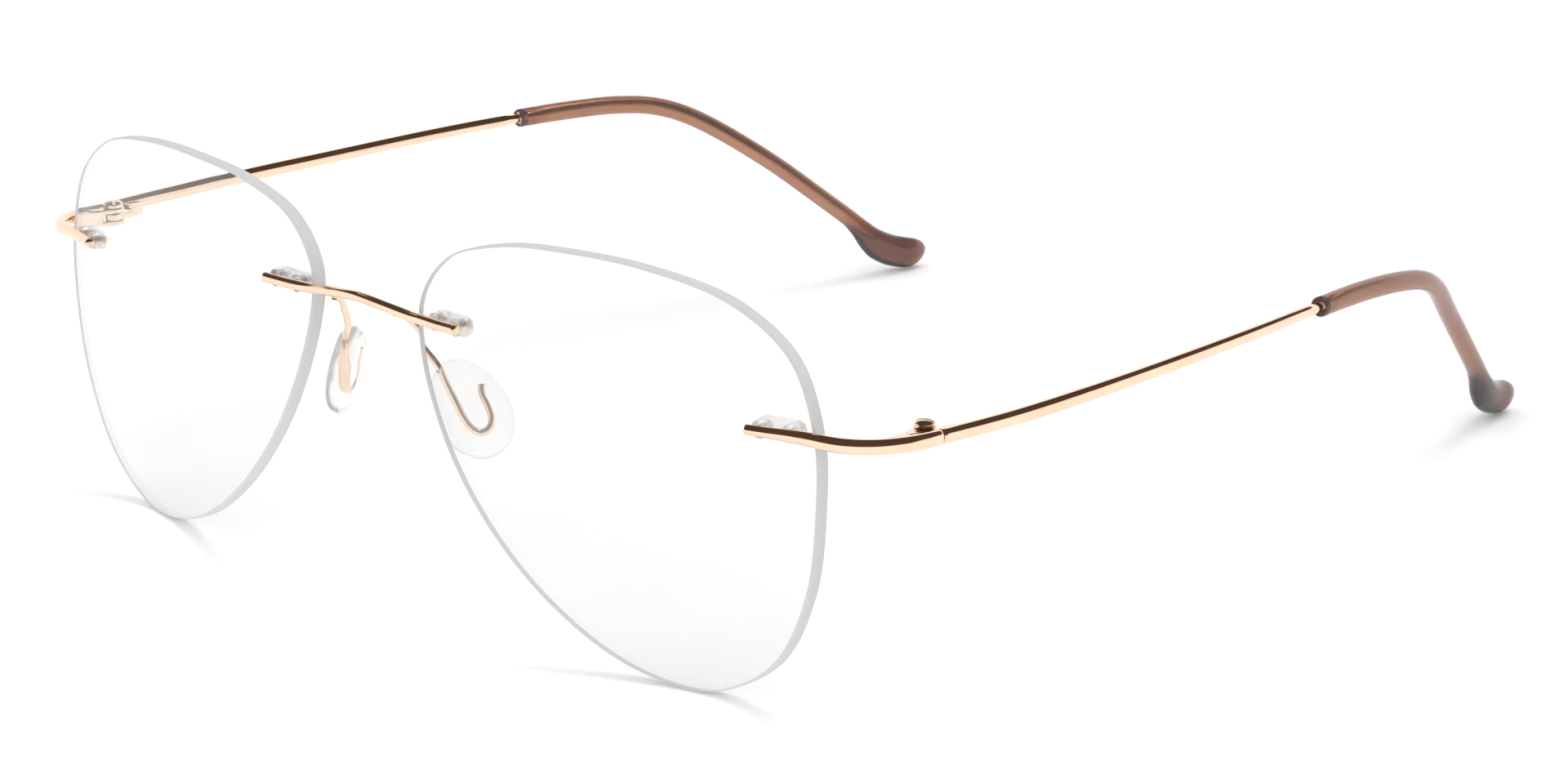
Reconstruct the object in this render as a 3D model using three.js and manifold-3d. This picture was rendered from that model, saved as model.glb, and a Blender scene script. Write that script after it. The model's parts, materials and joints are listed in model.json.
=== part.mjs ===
// Rimless eyeglasses, temples open, standing on the lower lens edges and the temple tips.
// Millimetres. +X is the wearer's left, -Y the way the wearer looks, +Z up.
import * as THREE from 'three';
import Module from 'manifold-3d';

const wasm = await Module();
wasm.setup();
const { Manifold, Mesh: SolidMesh } = wasm;

// ---- driving dimensions ----------------------------------------------------------------
const PUPIL_HALF = 32.4;          // centre line of the frame to the centre of one lens
const LENS_WRAP = 5.9;            // degrees, how far each lens turns back round the face
const LENS_RADIUS = 146;          // front surface, about base 4
const LENS_THICK = 1.9;
const LENS_BEVEL = 0.25;
const LENS_HOLE = 2.04;           // diameter of the drilled holes
const PIN_SPACING = 3.7;          // between the two pins of one mounting bar
const BAR_HALF = 0.62;            // half thickness of the round mounting bars
const BAR_STANDOFF = 0.07;        // bar to lens surface
const CUT_EASE = 0.12;            // polished edge of a cut bar end
const PIN_R = 0.5;
const PIN_PAST = 1.15;            // pin beyond the back of the lens
const PLUG_R = 1.2;               // round ends of the plug's pad
const PLUG_THICK = 0.8;
const PLUG_CLEAR = 0.09;          // lens back to the plug's pad
const SLEEVE_R = 0.95;
const SLEEVE_BORE = 0.58;
const SLEEVE_SUNK = 0.28;         // sleeve ends short of the lens front
const NASAL_HOLES = [-18.3, 4.1]; // mid-point of the pin pair on the lens, from its centre
const OUTER_HOLES = [28.9, -0.05];
const STAND_TILT = -3.5;          // degrees the lenses lean back when standing on a table
const STAND_HEIGHT = 33.14;       // lens centre line above the table
const STAND_BACK = -71.8;         // moves the middle of the depth to Y = 0
const HINGE = { x: 70.9, y: 18.8, z: -0.85 };
const KNUCKLE_R = 1.35;
const KNUCKLE_BORE = 0.66;
const SHANK_R = 0.6;
const KNUCKLE_GAP = 0.06;
const SCREW_HEAD_R = 1.2;
const SCREW_DOME = 0.9;           // height of the head
const SCREW_SLOT = [0.3, 0.35];   // width, depth
const SCREW_TURN = 0.5;           // radians, the way the slot happens to point
const MIDDLE_KNUCKLE = 0.85;      // height of the temple knuckle
const OUTER_KNUCKLE = 0.55;       // height of each front knuckle
const JOINT_Y = 19.0;             // butt joint between endpiece and temple
const JOINT_GAP = 0.16;
const CORE_R = 0.6;               // temple wire inside the plastic tip
const TIP_BORE_R = 0.73;
const TIP_MOUTH = 66.9;           // along the temple wire from the joint
const CORE_STOP = 9;              // wire ends this far before the end of the tip
const ARM_R = 0.42;
const ARM_CLEAR = 0.07;
const PAD_CENTRE = [11.65, 6.4, -7.25];
const PAD_UP = [-0.42, -0.28, 0.865];
const PAD_FACE = [-0.838, 0.485, -0.25];
const PAD_HALF = [4.25, 6.1];     // half width, half length
const PAD_WIRE = [                // the wire's bend inside the pad, across and up from its centre
  [-0.9, 6.0], [-1.1, 3.6], [-1.25, 1.2], [-1.32, -0.6], [-1.15, -1.9], [-0.5, -2.9], [0.5, -3.0],
  [1.35, -2.25], [1.7, -0.8], [1.8, 0.7], [2.3, 1.9],
];

// ---- materials -------------------------------------------------------------------------
const look = (color, roughness, metalness) => ({ color, roughness, metalness });
const GOLD = look(0xd9a77f, 0.18, 1.0);
const CLEAR = look(0xe9eef0, 0.08, 0.0);
const SILICONE = look(0xeef1f0, 0.25, 0.0);
const BROWN = look(0x5a3220, 0.22, 0.0);

const group = new THREE.Group();
const vec = (p) => new THREE.Vector3(p[0], p[1], p[2]);
const mid = (points) => new THREE.CatmullRomCurve3(points.map(vec), false, 'centripetal');

function indexed(positions, faces) {
  const g = new THREE.BufferGeometry();
  g.setAttribute('position', new THREE.Float32BufferAttribute(positions, 3));
  g.setIndex(faces);
  return g;
}

// ---- solids ----------------------------------------------------------------------------
function solid(geometry) {
  const g = geometry.index ? geometry : geometry.clone();
  const p = g.attributes.position;
  const order = g.index ? g.index.array : Array.from({ length: p.count }, (_, i) => i);
  const mesh = new SolidMesh({
    numProp: 3,
    vertProperties: new Float32Array(p.array),
    triVerts: new Uint32Array(order),
  });
  mesh.merge();
  return new Manifold(mesh);
}

function geometryOf(manifold) {
  const mesh = manifold.getMesh();
  return indexed(Array.from(mesh.vertProperties), Array.from(mesh.triVerts));
}

// Superellipse section: power 2 is an ellipse, larger is a rectangle with round corners. The
// half below the side line may be deeper than the half above it.
function sectionPoint(angle, [halfSide, halfUp, power, halfDown = halfUp]) {
  const c = Math.cos(angle);
  const s = Math.sin(angle);
  const shape = (v) => Math.sign(v) * Math.pow(Math.abs(v), 2 / power);
  return [halfSide * shape(c), (s < 0 ? halfDown : halfUp) * shape(s)];
}

// Rings of one section swept along a curve. stations are distances along it, section(d) gives
// [half side, half up, power, half down], side is the direction the half side is measured along.
function sweptRings(curve, stations, section, side, count) {
  const total = curve.getLength();
  return stations.map((d) => {
    const u = Math.min(1, Math.max(0, d / total));
    const at = curve.getPointAt(u);
    const along = curve.getTangentAt(u);
    const across = vec(side).addScaledVector(along, -vec(side).dot(along)).normalize();
    const up = new THREE.Vector3().crossVectors(across, along).normalize();
    const size = section(d);
    return Array.from({ length: count }, (_, i) => {
      const angle = (2 * Math.PI * (i + 0.5)) / count;
      const [s, h] = sectionPoint(angle, size);
      return at.clone().addScaledVector(across, s).addScaledVector(up, h);
    });
  });
}

// Closed body through a list of rings with equal counts; the ends are closed with fans.
function loft(rings) {
  const n = rings[0].length;
  const positions = [];
  for (const ring of rings) {
    for (const p of ring) positions.push(p.x, p.y, p.z);
  }
  const faces = [];
  for (let r = 0; r + 1 < rings.length; r += 1) {
    for (let i = 0; i < n; i += 1) {
      const j = (i + 1) % n;
      const a = r * n;
      const b = a + n;
      faces.push(a + i, b + i, a + j, a + j, b + i, b + j);
    }
  }
  for (const [start, turn] of [[0, 1], [(rings.length - 1) * n, -1]]) {
    const middle = new THREE.Vector3();
    for (let i = 0; i < n; i += 1) {
      middle.x += positions[3 * (start + i)] / n;
      middle.y += positions[3 * (start + i) + 1] / n;
      middle.z += positions[3 * (start + i) + 2] / n;
    }
    const centre = positions.length / 3;
    positions.push(middle.x, middle.y, middle.z);
    for (let i = 0; i < n; i += 1) {
      const j = (i + 1) % n;
      if (turn > 0) faces.push(centre, start + i, start + j);
      else faces.push(centre, start + j, start + i);
    }
  }
  const made = indexed(positions, faces);
  return solid(made).volume() > 0 ? made : indexed(positions, faces.reverse());
}

function sweep(curve, stations, section, side, count) {
  return loft(sweptRings(curve, stations, section, side, count));
}

function spread(from, to, steps) {
  return Array.from({ length: steps + 1 }, (_, i) => from + ((to - from) * i) / steps);
}

// Straight-line reading of a table of [distance, value, value...] rows.
function reading(rows, d) {
  const last = rows.length - 1;
  if (d <= rows[0][0]) return rows[0].slice(1);
  if (d >= rows[last][0]) return rows[last].slice(1);
  const k = rows.findIndex((row) => row[0] > d);
  const f = (d - rows[k - 1][0]) / (rows[k][0] - rows[k - 1][0]);
  return rows[k].slice(1).map((v, i) => rows[k - 1][i + 1] * (1 - f) + v * f);
}

const cylinder = (radius, from, to, sides) => {
  const g = new THREE.CylinderGeometry(radius, radius, to - from, sides);
  g.translate(0, (from + to) / 2, 0);
  return g;
};

// ---- placing ---------------------------------------------------------------------------
// Everything is drawn for the wearer's left (+X) and mirrored for the right.
const SIDES = [['left', 1], ['right', -1]];

function add(name, geometry, material, sign) {
  const mesh = new THREE.Mesh(geometry, new THREE.MeshStandardMaterial(material));
  mesh.name = name;
  mesh.scale.x = sign;
  group.add(mesh);
}

// ---- lens ------------------------------------------------------------------------------
const LENS_OUTLINE = [
  [33.8, 0], [30.6, 8.2], [23.1, 13.3], [12, 15.5], [0, 15.7], [-10, 14.7], [-18.6, 11.7],
  [-22.8, 6.3], [-22.6, 0], [-18.3, -10.5], [-11.3, -19.6], [-2, -27.1], [8.2, -31.7],
  [18.6, -32.4], [27.4, -27.5], [32.3, -18.6], [34, -8.5],
];
const RIM_STEPS = 50;
const lensSag = (a, b) => LENS_RADIUS - Math.sqrt(LENS_RADIUS * LENS_RADIUS - a * a - b * b);
const rimPoints = LENS_OUTLINE.map(([a, b]) => new THREE.Vector3(a, 0, b));
const outline = new THREE.CatmullRomCurve3(rimPoints, true, 'centripetal');
const lensTurn = new THREE.Matrix4()
  .makeTranslation(PUPIL_HALF, 0, 0)
  .multiply(new THREE.Matrix4().makeRotationZ(THREE.MathUtils.degToRad(LENS_WRAP)));

// Frame of one mounting bar: origin on the lens front, +Y into the lens, +X along the bar.
function mountFrame([a, b]) {
  const into = new THREE.Vector3(-a, LENS_RADIUS, -b).normalize();
  const along = new THREE.Vector3(1, 0, 0).addScaledVector(into, -into.x).normalize();
  const up = new THREE.Vector3().crossVectors(along, into);
  const basis = new THREE.Matrix4().makeBasis(along, into, up);
  basis.setPosition(a, lensSag(a, b), b);
  return new THREE.Matrix4().multiplyMatrices(lensTurn, basis);
}
const NASAL_MOUNT = mountFrame(NASAL_HOLES);
const OUTER_MOUNT = mountFrame(OUTER_HOLES);
const MOUNTS = [['bridge', NASAL_MOUNT], ['endpiece', OUTER_MOUNT]];
const PINS = [['inner', -PIN_SPACING / 2], ['outer', PIN_SPACING / 2]];

function lensGeometry() {
  const rim = outline.getSpacedPoints(RIM_STEPS).slice(0, RIM_STEPS);
  const outward = rim.map((p, i) => {
    const t = rim[(i + 1) % RIM_STEPS].clone().sub(rim[(i + RIM_STEPS - 1) % RIM_STEPS]);
    return new THREE.Vector3(t.z, 0, -t.x).normalize();
  });
  const ring = (scale, inset, back, bevel) => rim.map((p, i) => {
    const q = p.clone().multiplyScalar(scale).addScaledVector(outward[i], -inset);
    q.y = lensSag(q.x, q.z) + back + bevel;
    return q;
  });
  if (outward[0].dot(rim[0]) < 0) outward.forEach((v) => v.negate());
  const rings = [
    ring(0.38, 0, 0, 0), ring(0.72, 0, 0, 0), ring(1, LENS_BEVEL, 0, 0), ring(1, 0, 0, LENS_BEVEL),
    ring(1, 0, LENS_THICK, -LENS_BEVEL), ring(1, LENS_BEVEL, LENS_THICK, 0),
    ring(0.72, 0, LENS_THICK, 0), ring(0.38, 0, LENS_THICK, 0),
  ];
  let body = solid(loft(rings).applyMatrix4(lensTurn));
  for (const [, frame] of MOUNTS) {
    for (const [, offset] of PINS) {
      const drill = cylinder(LENS_HOLE / 2, -2, 5, 20).translate(offset, 0, 0).applyMatrix4(frame);
      body = body.subtract(solid(drill));
    }
  }
  return geometryOf(body);
}

// ---- bridge, endpieces and their fixings -------------------------------------------------
function onMount(frame, x) {
  return new THREE.Vector3(x, -BAR_HALF - BAR_STANDOFF, 0).applyMatrix4(frame).toArray();
}
const bridgeHalf = [
  onMount(NASAL_MOUNT, 3), onMount(NASAL_MOUNT, -1), [9.4, -1.2, 4.2], [5, -1.4, 4.6],
];
const bridgeCurve = mid([
  ...bridgeHalf.map(([x, y, z]) => [-x, y, z]), [0, -1.55, 4.95], ...[...bridgeHalf].reverse(),
]);

function bridgeGeometry() {
  const length = bridgeCurve.getLength();
  const section = (d) => {
    const cut = Math.min(d, length - d) < CUT_EASE / 2 ? BAR_HALF - CUT_EASE : BAR_HALF;
    return [cut, cut, 2];
  };
  const stations = [0, CUT_EASE, ...spread(2, length - 2, 22), length - CUT_EASE, length];
  return sweep(bridgeCurve, stations, section, [0, 1, 0], 12);
}

const endpieceCurve = mid([
  onMount(OUTER_MOUNT, -3.2), onMount(OUTER_MOUNT, 0), onMount(OUTER_MOUNT, 3.4), [69.0, 8.1, -0.35],
  [71.4, 10.6, -0.45], [72.6, 13.7, -0.5], [73.05, 16.8, -0.5], [73.1, JOINT_Y - JOINT_GAP / 2, -0.5],
]);
const ENDPIECE_SECTION = [
  [0, 0.5, 0.5, 2], [CUT_EASE, 0.6, 0.6, 2], [5, 0.62, 0.72, 2.1], [9, 0.66, 0.84, 2.3],
  [13, 0.74, 0.88, 2.4], [30, 0.75, 0.86, 2.4],
];

function endpieceGeometry() {
  const length = endpieceCurve.getLength();
  const stations = [0, CUT_EASE, ...spread(2, 6, 2), ...spread(7.4, length, 13)];
  return sweep(endpieceCurve, stations, (d) => reading(ENDPIECE_SECTION, d), [0.7, -0.7, 0], 14);
}

const pinGeometry = () => cylinder(PIN_R, -0.04, LENS_THICK + PIN_PAST, 12);

// Clear double plug: a pad behind the lens with two sleeves that fill the lens holes.
function plugGeometry() {
  const x = PIN_SPACING / 2;
  const pad = new THREE.Shape();
  pad.absarc(x, 0, PLUG_R, -Math.PI / 2, Math.PI / 2, false);
  pad.absarc(-x, 0, PLUG_R, Math.PI / 2, 1.5 * Math.PI, false);
  const plate = new THREE.ExtrudeGeometry(pad, { depth: PLUG_THICK, bevelEnabled: false, curveSegments: 8 });
  plate.rotateX(-Math.PI / 2);
  plate.translate(0, LENS_THICK + PLUG_CLEAR, 0);
  let body = solid(plate);
  const sleeveTo = LENS_THICK + PLUG_CLEAR + PLUG_THICK / 2;
  for (const [, offset] of PINS) {
    body = body.add(solid(cylinder(SLEEVE_R, SLEEVE_SUNK, sleeveTo, 20).translate(offset, 0, 0)));
  }
  for (const [, offset] of PINS) {
    body = body.subtract(solid(cylinder(SLEEVE_BORE, -1, 5, 12).translate(offset, 0, 0)));
  }
  return geometryOf(body);
}

// ---- hinge -------------------------------------------------------------------------------
// Plan outline that runs round the knuckle and out along the bar it is brazed to.
function knuckleOutline(tail) {
  const shape = new THREE.Shape();
  const forward = tail[0][1] < HINGE.y;
  shape.absarc(HINGE.x, HINGE.y, KNUCKLE_R, forward ? 0 : Math.PI, forward ? Math.PI : 2 * Math.PI, false);
  for (const [x, y] of tail) shape.lineTo(x, y);
  shape.closePath();
  const bore = new THREE.Path();
  bore.absarc(HINGE.x, HINGE.y, KNUCKLE_BORE, 0, 2 * Math.PI, true);
  shape.holes.push(bore);
  return shape;
}

function slab(shape, from, to) {
  const g = new THREE.ExtrudeGeometry(shape, { depth: to - from, bevelEnabled: false, curveSegments: 12 });
  g.translate(0, 0, HINGE.z + from);
  return solid(g);
}

function polygon(points) {
  return new THREE.Shape(points.map(([x, y]) => new THREE.Vector2(x, y)));
}

const LUG_HALF = 0.8;
const PLATE_HALF = 0.9;
const HALF_MIDDLE = MIDDLE_KNUCKLE / 2;
const ARM_FROM = HALF_MIDDLE + KNUCKLE_GAP;
const ARM_TO = ARM_FROM + OUTER_KNUCKLE;

function frontLeafGeometry() {
  const arm = knuckleOutline([[70.2, 17.1], [71.0, 15.9], [71.9, 15.6], [72.05, 17.3]]);
  const plate = polygon([
    [70.35, 16.9], [70.75, 14.4], [70.8, 12.8], [71.2, 12.6], [71.55, 13.4], [71.9, 15.4],
    [72.02, 17.1], [72.02, 17.35], [70.35, 17.35],
  ]);
  const arms = slab(arm, ARM_FROM, ARM_TO).add(slab(arm, -ARM_TO, -ARM_FROM));
  return geometryOf(arms.add(slab(plate, -PLATE_HALF, PLATE_HALF)));
}

function templeLeafGeometry() {
  const arm = knuckleOutline([[72.2, 21.0], [72.55, 23.6], [71.9, 23.9], [70.9, 22.0]]);
  const lug = polygon([[71.2, 21.4], [72.22, 21.1], [72.55, 23.6], [71.9, 23.9]]);
  return geometryOf(slab(arm, -HALF_MIDDLE, HALF_MIDDLE).add(slab(lug, -LUG_HALF, LUG_HALF)));
}

function screwGeometry() {
  const top = ARM_TO + 0.03;
  const profile = [
    [0, -ARM_TO - 0.25], [SHANK_R - 0.12, -ARM_TO - 0.25], [SHANK_R, -ARM_TO - 0.12], [SHANK_R, top],
    [SCREW_HEAD_R, top], [SCREW_HEAD_R, top + 0.45], [SCREW_HEAD_R - 0.2, top + 0.7],
    [SCREW_HEAD_R - 0.6, top + 0.85], [0, top + SCREW_DOME],
  ].map(([x, y]) => new THREE.Vector2(x, y));
  const turned = new THREE.LatheGeometry(profile, 20).rotateX(Math.PI / 2);
  const [wide, deep] = SCREW_SLOT;
  const slot = new THREE.BoxGeometry(wide, 3 * SCREW_HEAD_R, 2 * deep).translate(0, 0, top + SCREW_DOME);
  slot.rotateZ(SCREW_TURN);
  const body = solid(turned).subtract(solid(slot));
  return geometryOf(body).translate(HINGE.x, HINGE.y, HINGE.z);
}

// ---- temples -------------------------------------------------------------------------------
const templeCurve = mid([
  [73.1, JOINT_Y + JOINT_GAP / 2, -0.5], [73.75, 30, -0.15], [73.8, 42, 0.45], [73.2, 54, 1.0],
  [71.9, 72, 1.9], [70.4, 85, 2.45], [69.1, 95, 2.65], [68.2, 102.5, 2.4], [67.1, 108.6, 1.5],
  [65.2, 113.8, -0.5], [60.8, 122.7, -6.4], [56.4, 133.4, -14.9], [54.1, 139.2, -19.6],
  [52.9, 143.2, -21.6], [52.4, 147.0, -22.0],
]);
const TEMPLE_SECTION = [
  [0, 0.75, 0.86, 2.4], [20, 0.75, 0.9, 2.4], [45, 0.72, 0.82, 2.2], [TIP_MOUTH - 2.2, 0.7, 0.75, 2],
  [TIP_MOUTH - 0.6, CORE_R, CORE_R, 2], [200, CORE_R, CORE_R, 2],
];
const templeLength = templeCurve.getLength();

// Distances shared by the wire and the bore round it, so both follow the same bend.
const coreStop = templeLength - CORE_STOP;
const CORE_STATIONS = [
  ...spread(TIP_MOUTH + 6, 84, 2), ...spread(86.5, 108.5, 8), ...spread(112, coreStop, 5),
];

function templeGeometry() {
  const stations = [...spread(0, TIP_MOUTH - 2.2, 12), TIP_MOUTH - 0.6, ...CORE_STATIONS];
  return sweep(templeCurve, stations, (d) => reading(TEMPLE_SECTION, d), [1, 0, 0], 12);
}

// Half thickness, half width above and half width below of the plastic tip, from its open mouth.
// Near its end it spreads downward first, into a spoon.
const TIP_SECTION = [
  [0, 1.0, 1.05, 1.05], [0.5, 1.2, 1.22, 1.22], [8, 1.22, 1.25, 1.25], [40, 1.2, 1.2, 1.2],
  [57, 1.25, 1.2, 1.2], [59, 1.3, 1.2, 1.55], [61.5, 1.45, 1.22, 2.5], [63.3, 1.5, 1.35, 2.9],
  [65, 1.5, 1.55, 2.85], [67, 1.5, 1.8, 2.6], [71.4, 1.45, 1.9, 2.2],
];
const TIP_END_ROUND = 3.4;

function tipGeometry() {
  const end = templeLength;
  const outer = (d) => {
    const [side, up, down] = reading(TIP_SECTION, d - TIP_MOUTH);
    const into = Math.max(0, d - (end - TIP_END_ROUND)) / TIP_END_ROUND;
    const close = Math.sqrt(Math.max(0.02, 1 - into * into));
    return [side * (0.45 + 0.55 * close), up * close, 2, down * close];
  };
  const stations = [
    TIP_MOUTH, TIP_MOUTH + 0.5, ...CORE_STATIONS, ...spread(end - 6, end - TIP_END_ROUND, 1),
    end - 2.2, end - 1.2, end - 0.4, end,
  ];
  const bore = [TIP_MOUTH - 0.6, ...CORE_STATIONS, coreStop + 0.6];
  const skin = solid(sweep(templeCurve, stations, outer, [1, 0, 0], 14));
  const hollow = sweep(templeCurve, bore, () => [TIP_BORE_R, TIP_BORE_R, 2], [1, 0, 0], 12);
  return geometryOf(skin.subtract(solid(hollow)));
}

// ---- nose pads --------------------------------------------------------------------------------
const padUp = vec(PAD_UP).normalize();
const padFace = vec(PAD_FACE).addScaledVector(padUp, -vec(PAD_FACE).dot(padUp)).normalize();
const padAcross = new THREE.Vector3().crossVectors(padFace, padUp);
const padPoint = (across, up, out) => vec(PAD_CENTRE)
  .addScaledVector(padAcross, across).addScaledVector(padUp, up).addScaledVector(padFace, out);

const armCurve = mid([
  [5.3, -0.6, 3.8], [5.9, 0.75, 3.2], [6.65, 1.95, 1.8], [7.4, 3.15, -0.5],
  ...PAD_WIRE.map(([across, up]) => padPoint(across, up, 0).toArray()),
]);
const armSection = (r) => () => [r, r, 2];

function armGeometry() {
  return sweep(armCurve, spread(0, armCurve.getLength(), 30), armSection(ARM_R), [0.2, 1, 0.1], 8);
}

// Pebble with a flat bearing face, moulded round the wire.
function padGeometry() {
  const layers = [
    [-1.45, 0.55], [-1.2, 0.82], [-0.6, 0.98], [0.1, 1], [0.8, 0.94], [1.2, 0.82], [1.4, 0.62],
  ];
  const count = 24;
  const rings = layers.map(([out, scale]) => Array.from({ length: count }, (_, i) => {
    const angle = (2 * Math.PI * i) / count;
    const wide = PAD_HALF[0] * (1 - 0.1 * Math.sin(angle));
    return padPoint(wide * scale * Math.cos(angle), PAD_HALF[1] * scale * Math.sin(angle), out);
  }));
  const length = armCurve.getLength();
  const channel = sweep(
    armCurve, [...spread(0, length, 30), length + 0.01], armSection(ARM_R + ARM_CLEAR), [0.2, 1, 0.1], 8,
  );
  const last = armCurve.getPointAt(1);
  const pocket = new THREE.SphereGeometry(ARM_R + ARM_CLEAR + 0.05, 10, 8).translate(last.x, last.y, last.z);
  return geometryOf(solid(loft(rings)).subtract(solid(channel)).subtract(solid(pocket)));
}

// ---- assembly -----------------------------------------------------------------------------------
add('bridge', bridgeGeometry(), GOLD, 1);
for (const [side, sign] of SIDES) {
  add(`lens_${side}`, lensGeometry(), CLEAR, sign);
  add(`endpiece_${side}`, endpieceGeometry(), GOLD, sign);
  for (const [where, frame] of MOUNTS) {
    add(`lens_plug_${where}_${side}`, plugGeometry().applyMatrix4(frame), CLEAR, sign);
    for (const [which, offset] of PINS) {
      const pin = pinGeometry().translate(offset, 0, 0).applyMatrix4(frame);
      add(`${where}_pin_${which}_${side}`, pin, GOLD, sign);
    }
  }
  add(`hinge_front_leaf_${side}`, frontLeafGeometry(), GOLD, sign);
  add(`hinge_screw_${side}`, screwGeometry(), GOLD, sign);
  add(`hinge_temple_leaf_${side}`, templeLeafGeometry(), GOLD, sign);
  add(`temple_${side}`, templeGeometry(), GOLD, sign);
  add(`temple_tip_${side}`, tipGeometry(), BROWN, sign);
  add(`pad_arm_${side}`, armGeometry(), GOLD, sign);
  add(`nose_pad_${side}`, padGeometry(), SILICONE, sign);
}

group.rotation.x = THREE.MathUtils.degToRad(STAND_TILT);
group.position.set(0, STAND_BACK, STAND_HEIGHT);
group.updateMatrixWorld(true);

export default group;
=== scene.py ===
"""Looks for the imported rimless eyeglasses: smooth meshes and materials on the fixed CAD frame.

Shapes are drawn in the lens frame, in millimetres: x runs from the centre line to the wearer's
left, -y is the way the wearer looks and z is up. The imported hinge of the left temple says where
that frame sits on the table. Everything but the bridge is drawn once and mirrored.
"""
import json
import math

import bmesh
import bpy
import numpy as np
from mathutils import Matrix, Vector


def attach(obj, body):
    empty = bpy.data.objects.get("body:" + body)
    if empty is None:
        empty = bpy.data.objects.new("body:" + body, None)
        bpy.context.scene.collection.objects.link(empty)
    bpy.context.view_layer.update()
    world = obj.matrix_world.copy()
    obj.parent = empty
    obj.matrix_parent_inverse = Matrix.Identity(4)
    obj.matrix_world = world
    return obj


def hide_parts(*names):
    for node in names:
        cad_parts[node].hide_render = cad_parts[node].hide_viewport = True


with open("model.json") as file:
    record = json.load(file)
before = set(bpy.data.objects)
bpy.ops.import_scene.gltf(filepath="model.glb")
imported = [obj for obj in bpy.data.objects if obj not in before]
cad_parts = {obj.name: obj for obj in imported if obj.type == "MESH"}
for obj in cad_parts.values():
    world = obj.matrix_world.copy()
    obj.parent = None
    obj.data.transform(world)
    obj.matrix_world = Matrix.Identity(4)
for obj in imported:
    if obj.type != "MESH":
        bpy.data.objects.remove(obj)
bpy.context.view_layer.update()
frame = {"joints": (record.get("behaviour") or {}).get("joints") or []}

MM = 0.001
SIDES = ("left", "right")

# ---- driving dimensions -------------------------------------------------------------------
PUPIL_HALF = 32.4
LENS_WRAP = math.radians(5.9)
LENS_RADIUS = 146.0
LENS_THICK = 1.9
LENS_BEVEL = 0.25
LENS_HOLE_R = 1.02
PIN_SPACING = 3.7
PIN_R = 0.5
PIN_PAST = 1.15                   # pin beyond the back of the lens
PLUG_R = 1.2
PLUG_CLEAR = 0.09                 # lens back to the plug's pad
PLUG_THICK = 0.8
WETTED = 0.02                     # clear parts overlap by this much where they touch
SLEEVE_R = LENS_HOLE_R + WETTED
BAR_R = 0.62
BAR_STANDOFF = 0.07
CUT_EASE = 0.16                   # polished edge of a sawn bar end
NASAL_HOLES = (-18.3, 4.1)
OUTER_HOLES = (28.9, -0.05)
HINGE_Y, HINGE_Z = 18.8, -0.85
KNUCKLE_R = 1.35
KNUCKLE_BORE = 0.66
SHANK_R = 0.6
KNUCKLE_GAP = 0.06
MIDDLE_KNUCKLE = 0.85
OUTER_KNUCKLE = 0.55
LEAF_EASE = 0.07                  # rounding of the leaves' edges
SCREW_HEAD_R = 1.2
SCREW_DOME = 0.9
SCREW_SKIRT = 0.42                # straight part of the head
SLOT_HALF_WIDE, SLOT_DEEP, SLOT_TURN = 0.15, 0.36, 0.5
JOINT_Y = 19.0
JOINT_GAP = 0.16
CORE_R = 0.6
CORE_WETTED = 0.1                 # the tip's bore is this much under the wire: the plastic wets it
TIP_MOUTH = 66.9
BORE_FROM = TIP_MOUTH + 1.5       # where the plastic closes on the wire
CORE_STOP = 9.0                   # end of the wire to the end of the tip
BORE_SHORT = 0.6                  # the bore ends this much before the wire in it
TIP_END_ROUND = 3.4
ARM_R = 0.42
PAD_CENTRE = np.array((11.65, 6.4, -7.25))
PAD_UP = (-0.42, -0.28, 0.865)
PAD_FACE = (-0.838, 0.485, -0.25)
PAD_HALF_WIDE, PAD_HALF_LONG = 4.25, 6.1
PAD_WIRE = (
    (-0.9, 6.0), (-1.1, 3.6), (-1.25, 1.2), (-1.32, -0.6), (-1.15, -1.9), (-0.5, -2.9), (0.5, -3.0),
    (1.35, -2.25), (1.7, -0.8), (1.8, 0.7), (2.3, 1.9),
)
LENS_OUTLINE = (
    (33.8, 0), (30.6, 8.2), (23.1, 13.3), (12, 15.5), (0, 15.7), (-10, 14.7), (-18.6, 11.7),
    (-22.8, 6.3), (-22.6, 0), (-18.3, -10.5), (-11.3, -19.6), (-2, -27.1), (8.2, -31.7),
    (18.6, -32.4), (27.4, -27.5), (32.3, -18.6), (34, -8.5),
)

# ---- where the lens frame sits ------------------------------------------------------------
hinge = next(j for j in frame["joints"] if j["name"] == "temple_left_fold")
HINGE_X = hinge["pos_m"][0] / MM
lean = Matrix.Rotation(-math.atan2(hinge["axis"][1], hinge["axis"][2]), 4, "X")
hinge_here = Vector((HINGE_X, HINGE_Y, HINGE_Z)) * MM
stand = Vector(hinge["pos_m"]) - (lean @ hinge_here)
PLACE = Matrix.Translation(stand) @ lean @ Matrix.Scale(MM, 4)


def unit(v):
    v = np.asarray(v, float)
    return v / np.linalg.norm(v)


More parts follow.
